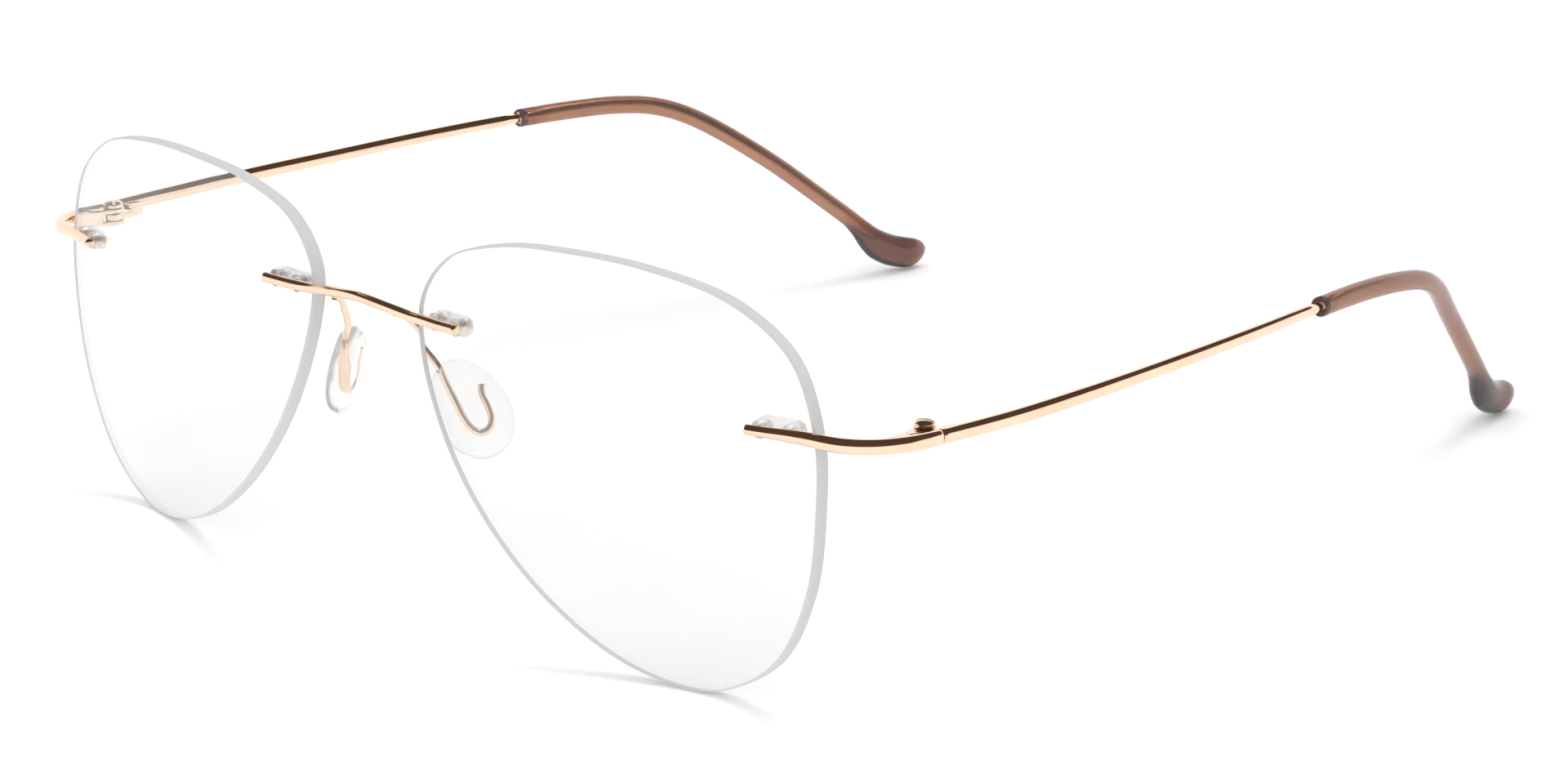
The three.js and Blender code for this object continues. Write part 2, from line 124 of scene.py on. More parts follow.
# ---- curves -------------------------------------------------------------------------------
class Route:
    """Centripetal Catmull-Rom curve through points, measured by distance along it."""

    STEPS = 60

    def __init__(self, points, closed=False):
        p = np.asarray(points, float)
        if closed:
            padded = np.vstack((p[-1], p, p[:2]))
        else:
            padded = np.vstack((2 * p[0] - p[1], p, 2 * p[-1] - p[-2]))
        pieces = [self._span(*padded[k:k + 4]) for k in range(len(padded) - 3)]
        self.dense = np.vstack(pieces + [padded[-2][None]])
        gaps = np.linalg.norm(np.diff(self.dense, axis=0), axis=1)
        self.way = np.concatenate(((0.0,), np.cumsum(gaps)))
        self.length = float(self.way[-1])

    def _span(self, a, b, c, d):
        t0, t1, t2 = (np.linalg.norm(q - p) ** 0.5 for p, q in ((a, b), (b, c), (c, d)))
        m1 = t1 * ((b - a) / t0 - (c - a) / (t0 + t1) + (c - b) / t1)
        m2 = t1 * ((c - b) / t1 - (d - b) / (t1 + t2) + (d - c) / t2)
        t = (np.arange(self.STEPS) / self.STEPS)[:, None]
        lift = t * t * (3 - 2 * t)
        return b + (c - b) * lift + m1 * t * (1 - t) ** 2 + m2 * t * t * (t - 1)

    def at(self, d):
        return np.array([np.interp(d, self.way, self.dense[:, k]) for k in range(3)])

    def along(self, d):
        reach = 0.12
        lo, hi = max(0.0, d - reach), min(self.length, d + reach)
        return unit(self.at(hi) - self.at(lo))


def spread(start, stop, step):
    """Evenly spaced distances from start to stop, about step apart."""
    return list(np.linspace(start, stop, max(2, round(abs(stop - start) / step) + 1)))


def reading(rows, d):
    """Smooth monotone reading of (distance, value, value...) rows."""
    rows = np.asarray(rows, float)
    x, y = rows[:, 0], rows[:, 1:]
    if d <= x[0] or d >= x[-1]:
        return y[0] if d <= x[0] else y[-1]
    slope = np.diff(y, axis=0) / np.diff(x)[:, None]
    before, after = slope[:-1], slope[1:]
    inner = np.where(before * after > 0, 2 * before * after / (before + after + 1e-12), 0)
    tangent = np.vstack((slope[0], inner, slope[-1]))
    k = int(np.searchsorted(x, d, side="right")) - 1
    h = x[k + 1] - x[k]
    t = (d - x[k]) / h
    lift = t * t * (3 - 2 * t)
    rise = h * (tangent[k] * t * (1 - t) ** 2 + tangent[k + 1] * t * t * (t - 1))
    return y[k] + (y[k + 1] - y[k]) * lift + rise


def section_ring(route, d, half_side, half_up, power, side, count, half_down=None):
    """Superellipse ring round the route: power 2 is an ellipse, larger is squarer."""
    centre, along = route.at(d), route.along(d)
    across = unit(np.asarray(side, float) - np.dot(side, along) * along)
    up = np.cross(across, along)
    angle = 2 * np.pi * np.arange(count) / count
    c, s = np.cos(angle), np.sin(angle)
    c = np.sign(c) * np.abs(c) ** (2 / power) * half_side
    reach = np.where(s < 0, half_down or half_up, half_up)
    s = np.sign(s) * np.abs(s) ** (2 / power) * reach
    return centre + np.outer(c, across) + np.outer(s, up)


# ---- meshes -------------------------------------------------------------------------------
SHARP_FROM = 38                   # degrees between faces
EASED_FROM = 35


def loft(rings, capped=True):
    """bmesh through rings of equal counts, closed with a fan at each end."""
    bm = bmesh.new()
    rows = [[bm.verts.new(p) for p in ring] for ring in rings]
    n = len(rows[0])
    for a, b in zip(rows, rows[1:]):
        for i in range(n):
            j = (i + 1) % n
            bm.faces.new((a[i], a[j], b[j], b[i]))
    if capped:
        for row in (rows[0][::-1], rows[-1]):
            hub = bm.verts.new(sum((v.co for v in row), Vector()) / n)
            for i in range(n):
                bm.faces.new((row[i], row[(i + 1) % n], hub))
    else:
        for i in range(n):
            j = (i + 1) % n
            bm.faces.new((rows[-1][i], rows[-1][j], rows[0][j], rows[0][i]))
    bmesh.ops.recalc_face_normals(bm, faces=bm.faces)
    return bm


def mesh_object(name, bm, sharp=SHARP_FROM):
    """Smooth-shaded object from a bmesh, sharp where faces meet at more than that angle."""
    mesh = bpy.data.meshes.new(name)
    bm.to_mesh(mesh)
    bm.free()
    mesh.polygons.foreach_set("use_smooth", [True] * len(mesh.polygons))
    mesh.set_sharp_from_angle(angle=math.radians(sharp))
    made = bpy.data.objects.new(name, mesh)
    bpy.context.scene.collection.objects.link(made)
    return made


def applied(made):
    """The object with its modifiers applied."""
    graph = bpy.context.evaluated_depsgraph_get()
    mesh = bpy.data.meshes.new_from_object(made.evaluated_get(graph), depsgraph=graph)
    made.modifiers.clear()
    made.data = mesh
    return made


def eased(made, width, segments=3):
    """Rounds the sharp edges."""
    modifier = made.modifiers.new("ease", "BEVEL")
    modifier.width = width
    modifier.segments = segments
    modifier.limit_method = "ANGLE"
    modifier.angle_limit = math.radians(EASED_FROM)
    return applied(made)


def combined(made, others, operation="UNION"):
    """made joined with, or cut by, the other solids, which are used up."""
    for other in others:
        modifier = made.modifiers.new("solid", "BOOLEAN")
        modifier.operation = operation
        modifier.object = other
        modifier.solver = "EXACT"
    applied(made)
    for other in others:
        bpy.data.objects.remove(other)
    made.data.polygons.foreach_set("use_smooth", [True] * len(made.data.polygons))
    made.data.set_sharp_from_angle(angle=math.radians(SHARP_FROM))
    return made


def mirrored(made, name):
    """A copy for the wearer's right."""
    twin = made.copy()
    twin.data = made.data.copy()
    twin.name = name
    twin.data.name = name
    twin.data.transform(Matrix.Scale(-1, 4, (1, 0, 0)))
    twin.data.flip_normals()
    bpy.context.scene.collection.objects.link(twin)
    return twin


def settle(piece, body, nodes, material):
    """Puts a finished piece in its place on the table and on its body."""
    piece.data.transform(PLACE)
    piece.data.update()
    if not piece.data.materials:
        piece.data.materials.append(material)
    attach(piece, body)
    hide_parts(*nodes)
    return piece


def both_sides(made, stem, body, nodes, material):
    """Places made as STEM_left and its mirror image as STEM_right. body and nodes may hold {side}."""
    twin = mirrored(made, stem + "_right")
    made.name = stem + "_left"
    pieces = []
    for piece, side in zip((made, twin), SIDES):
        names = [n.format(side=side) for n in nodes]
        pieces.append(settle(piece, body.format(side=side), names, material))
    return pieces


# ---- materials ----------------------------------------------------------------------------
class Nodes:
    """A new material with one Principled shader and short calls for adding nodes."""

    def __init__(self, name):
        self.material = bpy.data.materials.new(name)
        self.material.use_nodes = True
        self.tree = self.material.node_tree
        self.shader = self.tree.nodes["Principled BSDF"]
        self.output = self.tree.nodes["Material Output"]
        self.place = self.add("ShaderNodeTexCoord").outputs["Object"]

    def add(self, kind, **values):
        node = self.tree.nodes.new(kind)
        for key, value in values.items():
            node.inputs[key].default_value = value
        return node

    def link(self, a, b):
        self.tree.links.new(a, b)

    def noise(self, scale, detail, roughness=0.5, stretch=(1, 1, 1)):
        mapping = self.add("ShaderNodeMapping")
        mapping.inputs["Scale"].default_value = stretch
        self.link(self.place, mapping.inputs["Vector"])
        node = self.add("ShaderNodeTexNoise", Scale=scale, Detail=detail, Roughness=roughness)
        self.link(mapping.outputs["Vector"], node.inputs["Vector"])
        return node.outputs["Fac"]

    def ranged(self, value, lo, hi):
        node = self.add("ShaderNodeMapRange")
        node.inputs["From Min"].default_value = 0.3
        node.inputs["From Max"].default_value = 0.7
        node.inputs["To Min"].default_value = lo
        node.inputs["To Max"].default_value = hi
        self.link(value, node.inputs["Value"])
        return node.outputs["Result"]

    def tinted(self, value, dark, light):
        node = self.add("ShaderNodeValToRGB")
        node.color_ramp.elements[0].position = 0.3
        node.color_ramp.elements[1].position = 0.7
        node.color_ramp.elements[0].color = (*dark, 1)
        node.color_ramp.elements[1].color = (*light, 1)
        self.link(value, node.inputs["Fac"])
        return node.outputs["Color"]

    def bumped(self, value, strength, distance):
        node = self.add("ShaderNodeBump", Strength=strength, Distance=distance)
        self.link(value, node.inputs["Height"])
        self.link(node.outputs["Normal"], self.shader.inputs["Normal"])

    def lets_lamps_through(self, tint):
        """Light from the lamps passes straight through, as through thin clear plastic."""
        rays = self.add("ShaderNodeLightPath")
        clear = self.add("ShaderNodeBsdfTransparent")
        clear.inputs["Color"].default_value = (*tint, 1)
        mix = self.add("ShaderNodeMixShader")
        self.link(rays.outputs["Is Shadow Ray"], mix.inputs["Fac"])
        self.link(self.shader.outputs["BSDF"], mix.inputs[1])
        self.link(clear.outputs["BSDF"], mix.inputs[2])
        self.link(mix.outputs["Shader"], self.output.inputs["Surface"])

    def set(self, **values):
        for key, value in values.items():
            self.shader.inputs[key.replace("_", " ")].default_value = value


def polished_metal(name, dark, light, rough_lo, rough_hi):
    """Plated and polished wire: slight colour drift, fine handling marks, soft drawing lines."""
    m = Nodes(name)
    m.set(Metallic=1.0)
    m.link(m.tinted(m.noise(180, 3), dark, light), m.shader.inputs["Base Color"])
    m.link(m.ranged(m.noise(900, 6, 0.6), rough_lo, rough_hi), m.shader.inputs["Roughness"])
    m.bumped(m.noise(5000, 3, 0.55, (1, 0.12, 1)), 0.018, 0.00002)
    return m.material


def lens_face():
    """Demo lens: clear with a trace of grey."""
    m = Nodes("lens_clear")
    m.set(Transmission_Weight=1.0, IOR=1.49)
    m.shader.inputs["Base Color"].default_value = (0.93, 0.93, 0.93, 1)
    m.link(m.ranged(m.noise(60, 3), 0.0, 0.012), m.shader.inputs["Roughness"])
    m.lets_lamps_through((0.97, 0.97, 0.97))
    return m.material


def lens_edge():
    """The ground edge: matt grey with a fine grain."""
    m = Nodes("lens_ground_edge")
    m.set(IOR=1.45)
    grain = m.noise(4000, 4, 0.6)
    m.link(m.tinted(grain, (0.84, 0.84, 0.84), (0.90, 0.90, 0.90)), m.shader.inputs["Base Color"])
    m.link(m.ranged(grain, 0.55, 0.7), m.shader.inputs["Roughness"])
    m.bumped(grain, 0.15, 0.00002)
    glow = m.add("ShaderNodeBsdfTranslucent")
    glow.inputs["Color"].default_value = (0.66, 0.66, 0.66, 1)
    mix = m.add("ShaderNodeMixShader")
    mix.inputs["Fac"].default_value = 0.5
    m.link(m.shader.outputs["BSDF"], mix.inputs[1])
    m.link(glow.outputs["BSDF"], mix.inputs[2])
    m.link(mix.outputs["Shader"], m.output.inputs["Surface"])
    return m.material


def clear_plastic(name, clarity, body, ior, rough_lo, rough_hi, tint):
    """Clear plastic: clarity 1 has no milkiness, body 1 bends all the light that passes."""
    m = Nodes(name)
    m.set(Transmission_Weight=clarity, IOR=ior, Alpha=body)
    m.link(m.tinted(m.noise(300, 3), tint, (0.995, 0.99, 0.985)), m.shader.inputs["Base Color"])
    m.link(m.ranged(m.noise(700, 4), rough_lo, rough_hi), m.shader.inputs["Roughness"])
    m.bumped(m.noise(1500, 2), 0.05, 0.00005)
    m.lets_lamps_through((0.93, 0.93, 0.93))
    return m.material


def brown_plastic():
    """Translucent brown: light passes, and the thicker it is the darker it gets."""
    m = Nodes("brown_translucent")
    m.set(Transmission_Weight=0.94, IOR=1.5)
    cloud = m.noise(220, 3, 0.5)
    m.link(m.tinted(cloud, (0.93, 0.87, 0.82), (0.98, 0.94, 0.90)), m.shader.inputs["Base Color"])
    m.link(m.ranged(m.noise(500, 4), 0.08, 0.16), m.shader.inputs["Roughness"])
    m.bumped(m.noise(900, 2), 0.02, 0.00002)
    body = m.add("ShaderNodeVolumeAbsorption")
    body.inputs["Color"].default_value = (0.64, 0.30, 0.025, 1)
    body.inputs["Density"].default_value = 2000
    m.link(body.outputs["Volume"], m.output.inputs["Volume"])
    return m.material


GOLD = polished_metal("rose_gold", (0.93, 0.70, 0.52), (0.98, 0.77, 0.585), 0.05, 0.13)
POST = polished_metal("post_rose_gold", (0.95, 0.78, 0.65), (0.99, 0.85, 0.73), 0.55, 0.7)
CORE = polished_metal("core_rose_gold", (0.88, 0.66, 0.50), (0.95, 0.74, 0.57), 0.26, 0.38)
SCREW = polished_metal("screw_rose_gold", (0.86, 0.64, 0.48), (0.93, 0.72, 0.55), 0.07, 0.16)
LENS_FACE = lens_face()
LENS_EDGE = lens_edge()
PLUG = clear_plastic("plug_clear", 0.75, 0.5, 1.49, 0.0, 0.03, (0.99, 0.99, 0.99))
SILICONE = clear_plastic("silicone_clear", 0.86, 0.92, 1.2, 0.03, 0.10, (0.97, 0.97, 0.97))
BROWN = brown_plastic()


# ---- lens ---------------------------------------------------------------------------------
LENS_TURN = Matrix.Translation((PUPIL_HALF, 0, 0)) @ Matrix.Rotation(LENS_WRAP, 4, "Z")


def sag(a, b):
    return LENS_RADIUS - np.sqrt(LENS_RADIUS**2 - a * a - b * b)


def mount_frame(hole):
    """Frame of one mounting bar: origin on the lens front, +Y into the lens, +X along the bar."""
    a, b = hole
    into = unit((-a, LENS_RADIUS, -b))
    along = unit(np.array((1.0, 0, 0)) - into[0] * into)
    up = np.cross(along, into)
    local = Matrix.Identity(4)
    for k, column in enumerate((along, into, up, (a, sag(a, b), b))):
        for row in range(3):
            local[row][k] = column[row]
    return LENS_TURN @ local


MOUNTS = (("bridge", mount_frame(NASAL_HOLES)), ("endpiece", mount_frame(OUTER_HOLES)))
PINS = (("inner", -PIN_SPACING / 2), ("outer", PIN_SPACING / 2))


def disc_ring(radius, y, x=0.0, count=32):
    angle = 2 * np.pi * np.arange(count) / count
    return np.stack((x + radius * np.cos(angle), np.full(count, y), radius * np.sin(angle)), 1)


def lens_points(rim, outward, scale, inset, back):
    q = rim * scale - outward * inset
    return np.stack((q[:, 0], sag(q[:, 0], q[:, 1]) + back, q[:, 1]), 1)


def build_lens():
    steps = 420
    route = Route([(a, 0, b) for a, b in LENS_OUTLINE], closed=True)
    rim = np.array([route.at(d)[[0, 2]] for d in np.linspace(0, route.length, steps, endpoint=False)])
    run = np.roll(rim, -1, 0) - np.roll(rim, 1, 0)
    outward = np.stack((run[:, 1], -run[:, 0]), 1)
    outward /= np.linalg.norm(outward, axis=1)[:, None]
    if np.sum(outward * rim) < 0:
        outward = -outward
    front_scales = np.linspace(0.04, 0.96, 12)
    rings = [lens_points(rim, outward, s, 0, 0) for s in front_scales]
    rings += [
        lens_points(rim, outward, 1, LENS_BEVEL, 0),
        lens_points(rim, outward, 1, 0, LENS_BEVEL),
        lens_points(rim, outward, 1, 0, LENS_THICK - LENS_BEVEL),
        lens_points(rim, outward, 1, LENS_BEVEL, LENS_THICK),
    ]
    rings += [lens_points(rim, outward, s, 0, LENS_THICK) for s in front_scales[::-1]]
    bm = loft(rings)
    bm.transform(LENS_TURN)
    made = mesh_object("lens", bm)
    made.data.materials.append(LENS_FACE)
    made.data.materials.append(LENS_EDGE)
    first_wall = len(front_scales) * steps
    for k in range(first_wall, first_wall + 3 * steps):
        made.data.polygons[k].material_index = 1
    drills = []
    for _, place in MOUNTS:
        for _, offset in PINS:
            drill = mesh_object("drill", loft([disc_ring(LENS_HOLE_R, y, offset, 48) for y in (-2, 5)]))
            drill.data.transform(place)
            drill.data.materials.append(LENS_FACE)
            drills.append(drill)
    combined(made, drills, "DIFFERENCE")
    true_lens_normals(made.data)
    return made


def true_lens_normals(mesh):
    """Exact sphere normals on the two optical faces, so that nothing seen through them is bent."""
    back = LENS_TURN.inverted()
    normals = [tuple(c.vector) for c in mesh.corner_normals]
    for polygon in mesh.polygons:
        facing = (back.to_3x3() @ polygon.normal).y
        if polygon.material_index != 0 or abs(facing) < 0.8:
            continue
        for loop in polygon.loop_indices:
            p = back @ mesh.vertices[mesh.loops[loop].vertex_index].co
            n = Vector((-p.x, LENS_RADIUS, -p.z)).normalized()
            n = LENS_TURN.to_3x3() @ (n if facing > 0 else -n)
            normals[loop] = tuple(n)
    mesh.normals_split_custom_set(normals)


both_sides(build_lens(), "lens_pane", "front", ["lens_{side}"], LENS_FACE)


# ---- bridge, endpieces and their fixings ----------------------------------------------------
def on_mount(place, x):
    return tuple(place @ Vector((x, -BAR_R - BAR_STANDOFF, 0)))


def bar_ends(length, radius):
    """Stations and radii of a saw-cut end with a polished edge."""
    rows = [
        (0.0, radius - CUT_EASE), (0.05, radius - 0.07), (0.12, radius - 0.015),
        (CUT_EASE + 0.04, radius),
    ]
    return rows, [(length - d, r) for d, r in rows[::-1]]


bridge_half = [on_mount(MOUNTS[0][1], 3), on_mount(MOUNTS[0][1], -1), (9.4, -1.2, 4.2), (5, -1.4, 4.6)]
bridge_route = Route([(-x, y, z) for x, y, z in bridge_half] + [(0, -1.55, 4.95)] + bridge_half[::-1])


def build_bridge():
    start, end = bar_ends(bridge_route.length, BAR_R)
    middle = [(d, BAR_R) for d in spread(0.5, bridge_route.length - 0.5, 0.35)]
    rings = [section_ring(bridge_route, d, r, r, 2, (0, 1, 0), 40) for d, r in start + middle + end]
    return mesh_object("bridge_bar", loft(rings))


settle(build_bridge(), "front", ["bridge"], GOLD)

# Distance along, half thickness, half width, squareness.
ENDPIECE_SECTION = (
    (0, 0.6, 0.6, 2), (2, 0.6, 0.62, 2), (5, 0.62, 0.72, 2.1), (9, 0.66, 0.84, 2.3),
    (13, 0.74, 0.88, 2.4), (30, 0.75, 0.86, 2.4),
)
JOINT_EASE = ((0, 0.12), (0.02, 0.07), (0.06, 0.02))   # rounding of the two ends at the butt joint


def build_endpiece():
    outer = MOUNTS[1][1]
    route = Route([
        on_mount(outer, -3.2), on_mount(outer, 0), on_mount(outer, 3.4), (69.0, 8.1, -0.35),
        (71.4, 10.6, -0.45), (72.6, 13.7, -0.5), (73.05, 16.8, -0.5),
        (73.1, JOINT_Y - JOINT_GAP / 2, -0.5),
    ])
    start, _ = bar_ends(route.length, 0)
    last = route.length
    stations = [(d, ease) for d, ease in start] + [(d, 0.0) for d in spread(0.4, last - 0.1, 0.3)]
    stations += [(last - d, -ease) for d, ease in JOINT_EASE[::-1]]
    rings = []
    for d, ease in stations:
        side, up, power = reading(ENDPIECE_SECTION, d)
        rings.append(section_ring(route, d, side + ease, up + ease, power, (0.7, -0.7, 0), 48))
    return mesh_object("endpiece_bar", loft(rings))


both_sides(build_endpiece(), "endpiece_bar", "front", ["endpiece_{side}"], GOLD)


def build_pin(place, offset):
    tip = LENS_THICK + PIN_PAST
    profile = (
        (PIN_R, -0.04), (PIN_R, tip - 0.13), (PIN_R - 0.04, tip - 0.05), (PIN_R - 0.12, tip),
    )
    made = mesh_object("pin", loft([disc_ring(r, y, offset) for r, y in profile]))
    made.data.transform(place)
    return made


def build_plug(place):
    """Clear double plug: a stadium pad behind the lens with a sleeve in each hole."""
    half = PIN_SPACING / 2
    turn = np.linspace(-np.pi / 2, np.pi / 2, 25)
    near = LENS_THICK + PLUG_CLEAR
    far = near + PLUG_THICK

    def stadium(r, y):
        right = np.stack((half + r * np.cos(turn), np.full(len(turn), y), r * np.sin(turn)), 1)
        left = right[::-1] * (-1, 1, 1)
        return np.vstack((right, left))

    pad = mesh_object("pad", loft([
        stadium(PLUG_R - 0.1, near), stadium(PLUG_R, near + 0.08), stadium(PLUG_R, far - 0.25),
        stadium(PLUG_R - 0.08, far - 0.08), stadium(PLUG_R - 0.25, far),
    ]))
    sleeves = []
    cuts = []
    for _, offset in PINS:
        sleeves.append(mesh_object("sleeve", loft([
            disc_ring(SLEEVE_R, 0.0, offset, 48), disc_ring(SLEEVE_R, near + 0.3, offset, 48),
        ])))
        cuts.append(mesh_object("cut", loft([disc_ring(PIN_R - WETTED, y, offset, 32) for y in (-1, 5)])))
    combined(pad, sleeves)
    combined(pad, cuts, "DIFFERENCE")
    pad.data.transform(place)
    return pad


for where, place in MOUNTS:
    both_sides(
        build_plug(place), f"plug_{where}", "front", [f"lens_plug_{where}_{{side}}"], PLUG
    )
    for which, offset in PINS:
        both_sides(
            build_pin(place, offset), f"post_{where}_{which}", "front",
            [f"{where}_pin_{which}_{{side}}"], POST,
        )


# ---- hinge --------------------------------------------------------------------------------
HALF_MIDDLE = MIDDLE_KNUCKLE / 2
ARM_FROM = HALF_MIDDLE + KNUCKLE_GAP
ARM_TO = ARM_FROM + OUTER_KNUCKLE
LUG_HALF = 0.8
PLATE_HALF = 0.9


def knuckle(tail, low, high):
    """Flat arm round the hinge bore with a tail out to the bar it is brazed to."""
    start = 0 if tail[0][1] < HINGE_Y else np.pi
    turn = np.linspace(start, start + np.pi, 40)
    arc = np.stack((HINGE_X + KNUCKLE_R * np.cos(turn), HINGE_Y + KNUCKLE_R * np.sin(turn)), 1)
    corners = np.vstack((arc[-1], tail, arc[0]))
    run = [np.linspace(p, q, 7)[1:] for p, q in zip(corners, corners[1:])]
    outline = np.vstack([arc] + run)[:-1]
    away = outline - (HINGE_X, HINGE_Y)
    bore = (HINGE_X, HINGE_Y) + KNUCKLE_BORE * away / np.linalg.norm(away, axis=1)[:, None]

    def level(points, z):
        return np.column_stack((points, np.full(len(points), HINGE_Z + z)))

    rings = [level(bore, low), level(bore, high), level(outline, high), level(outline, low)]
    return eased(mesh_object("knuckle", loft(rings, capped=False)), LEAF_EASE)


def plate(points, low, high):
    """Flat filling between a leaf and the bar beside it."""
    pts = np.asarray(points, float)
    corners = np.vstack((pts, pts[:1]))
    run = np.vstack([np.linspace(p, q, 5)[1:] for p, q in zip(corners, corners[1:])])
    rings = [np.column_stack((run, np.full(len(run), HINGE_Z + z))) for z in (low, high)]
    return eased(mesh_object("plate", loft(rings)), LEAF_EASE)


def build_front_leaf():
    """The two outer knuckles and the plate that joins them to the endpiece."""
    tail = ((70.2, 17.1), (71.0, 15.9), (71.9, 15.6), (72.05, 17.3))
    joining = (
        (70.35, 16.9), (70.75, 14.4), (70.8, 12.8), (71.2, 12.6), (71.55, 13.4), (71.9, 15.4),
        (72.02, 17.1), (72.02, 17.35), (70.35, 17.35),
    )
    upper = knuckle(tail, ARM_FROM, ARM_TO)
    return combined(upper, [knuckle(tail, -ARM_TO, -ARM_FROM), plate(joining, -PLATE_HALF, PLATE_HALF)])


def build_temple_leaf():
    """The middle knuckle and its lug on the temple."""
    tail = ((72.2, 21.0), (72.55, 23.6), (71.9, 23.9), (70.9, 22.0))
    lug = ((71.2, 21.4), (72.22, 21.1), (72.55, 23.6), (71.9, 23.9))
    return combined(knuckle(tail, -HALF_MIDDLE, HALF_MIDDLE), [plate(lug, -LUG_HALF, LUG_HALF)])


def build_screw():
    """Slotted dome screw."""
    top = ARM_TO + 0.03
    shoulder = top + SCREW_SKIRT
    rise = SCREW_DOME - SCREW_SKIRT
    dome = [
        (SCREW_HEAD_R * math.cos(t), shoulder + rise * math.sin(t)) for t in np.linspace(0.1, 1.45, 9)
    ]
    profile = [(SHANK_R - 0.12, -ARM_TO - 0.25), (SHANK_R, -ARM_TO - 0.12), (SHANK_R, top - 0.01)]
    profile += [(SCREW_HEAD_R - 0.08, top), (SCREW_HEAD_R, top + 0.06), (SCREW_HEAD_R, shoulder - 0.04)]
    profile += dome
    rings = []
    for r, z in profile:
        ring = disc_ring(r, 0, count=56)
        rings.append(np.column_stack((ring[:, 0], ring[:, 2], np.full(len(ring), z))))
    head = mesh_object("screw", loft(rings))
    reach = 2.0
    box = [(x * reach, y * SLOT_HALF_WIDE) for x, y in ((-1, -1), (1, -1), (1, 1), (-1, 1))]
    floor_z = top + SCREW_DOME - SLOT_DEEP
    slot = mesh_object("slot", loft([[(x, y, z) for x, y in box] for z in (floor_z, top + 2)]))
    slot.data.transform(Matrix.Rotation(SLOT_TURN, 4, "Z"))
    combined(head, [slot], "DIFFERENCE")
    eased(head, 0.025, 2)
    head.data.transform(Matrix.Translation((HINGE_X, HINGE_Y, HINGE_Z)))
    return head


both_sides(
    build_front_leaf(), "hinge_leaf_front", "front", ["hinge_front_leaf_{side}"], GOLD
)
both_sides(build_screw(), "hinge_screw_head", "front", ["hinge_screw_{side}"], SCREW)
both_sides(
    build_temple_leaf(), "hinge_leaf_temple", "temple_{side}",
    ["hinge_temple_leaf_{side}"], GOLD,
)

# ---- temples ------------------------------------------------------------------------------
temple_route = Route((
    (73.1, JOINT_Y + JOINT_GAP / 2, -0.5), (73.75, 30, -0.15), (73.8, 42, 0.45), (73.2, 54, 1.0),
    (71.9, 72, 1.9), (70.4, 85, 2.45), (69.1, 95, 2.65), (68.2, 102.5, 2.4), (67.1, 108.6, 1.5),
    (65.2, 113.8, -0.5), (60.8, 122.7, -6.4), (56.4, 133.4, -14.9), (54.1, 139.2, -19.6),
    (52.9, 143.2, -21.6), (52.4, 147.0, -22.0),
))
# Distance along, half thickness, half width, squareness.
TEMPLE_SECTION = (
    (0, 0.75, 0.86, 2.4), (12, 0.75, 0.9, 2.2), (45, 0.72, 0.82, 2.1), (TIP_MOUTH - 2.2, 0.7, 0.75, 2),
    (TIP_MOUTH - 0.6, CORE_R, CORE_R, 2), (BORE_FROM, CORE_R, CORE_R, 2),
    (TIP_MOUTH + 5, 0.78, 0.86, 2), (121, 0.78, 0.86, 2), (129, 0.4, 0.6, 2),
)
# Distance from the mouth, half thickness, half width above, half width below: it spreads downward
# first, into a spoon.
TIP_SECTION = (
    (0, 1.2, 1.22, 1.22), (8, 1.22, 1.25, 1.25), (40, 1.2, 1.2, 1.2), (57, 1.25, 1.2, 1.2),
    (59, 1.3, 1.2, 1.55), (61.5, 1.45, 1.22, 2.5), (63.3, 1.5, 1.35, 2.9), (65, 1.5, 1.55, 2.85),
    (67, 1.5, 1.8, 2.6), (71.4, 1.45, 1.9, 2.2),
)
core_stop = temple_route.length - CORE_STOP
OUTWARD = (1, 0, 0)


def build_temple():
    """Wire temple: polished outside the tip, brushed inside it."""
    stations = list(JOINT_EASE) + [(d, 0.0) for d in spread(0.12, core_stop - 0.2, 0.5)]
    stations += [(core_stop - 0.05, 0.04), (core_stop, 0.14)]
    rings = []
    for d, ease in stations:
        side, up, power = reading(TEMPLE_SECTION, d)
        rings.append(section_ring(temple_route, d, side - ease, up - ease, power, OUTWARD, 48))
    made = mesh_object("temple_wire", loft(rings))
    made.data.materials.append(GOLD)
    made.data.materials.append(CORE)
    inside_from = temple_route.at(BORE_FROM)[1]
    for polygon in made.data.polygons:
        polygon.material_index = int(polygon.center.y > inside_from)
    return made


def tip_skin(d):
    """Half thickness, half width above and half width below at a distance along the temple."""
    side, up, down = reading(TIP_SECTION, d - TIP_MOUTH)
    into = max(0.0, d - (temple_route.length - TIP_END_ROUND)) / TIP_END_ROUND
    close = math.sqrt(max(0.0, 1 - min(1.0, into) ** 2))
    closing = max(close, 0.04)
    return side * (0.3 + 0.7 * close) * closing ** 0.35, up * closing, down * closing


def build_tip():
    """One skin from the end of the bore out through the flared mouth and round the whole tip."""
    count = 56
    rings = []
    for d in spread(core_stop - BORE_SHORT, BORE_FROM, 0.7):
        side, up, _ = reading(TEMPLE_SECTION, d) - CORE_WETTED
        rings.append(section_ring(temple_route, d, side, up, 2, OUTWARD, count))
    flare = ((1.0, 0.72), (0.5, 0.82), (0.15, 0.9), (0.03, 0.94), (0.0, 0.98), (0.0, 1.04), (0.06, 1.12))
    for back, r in flare:
        rings.append(section_ring(temple_route, TIP_MOUTH + back, r, r, 2, OUTWARD, count))
    end = temple_route.length
    body = spread(TIP_MOUTH + 0.2, end - TIP_END_ROUND, 0.5)
    closing = [end - TIP_END_ROUND * (1 - math.sin(t)) for t in np.linspace(0.08, 1.5, 14)]
    for d in body + closing:
        side, up, down = tip_skin(d)
        rings.append(section_ring(temple_route, d, side, up, 2, OUTWARD, count, down))
    return mesh_object("tip_sleeve", loft(rings), 50)


both_sides(build_temple(), "temple_wire", "temple_{side}", ["temple_{side}"], GOLD)
both_sides(build_tip(), "tip_sleeve", "temple_{side}", ["temple_tip_{side}"], BROWN)

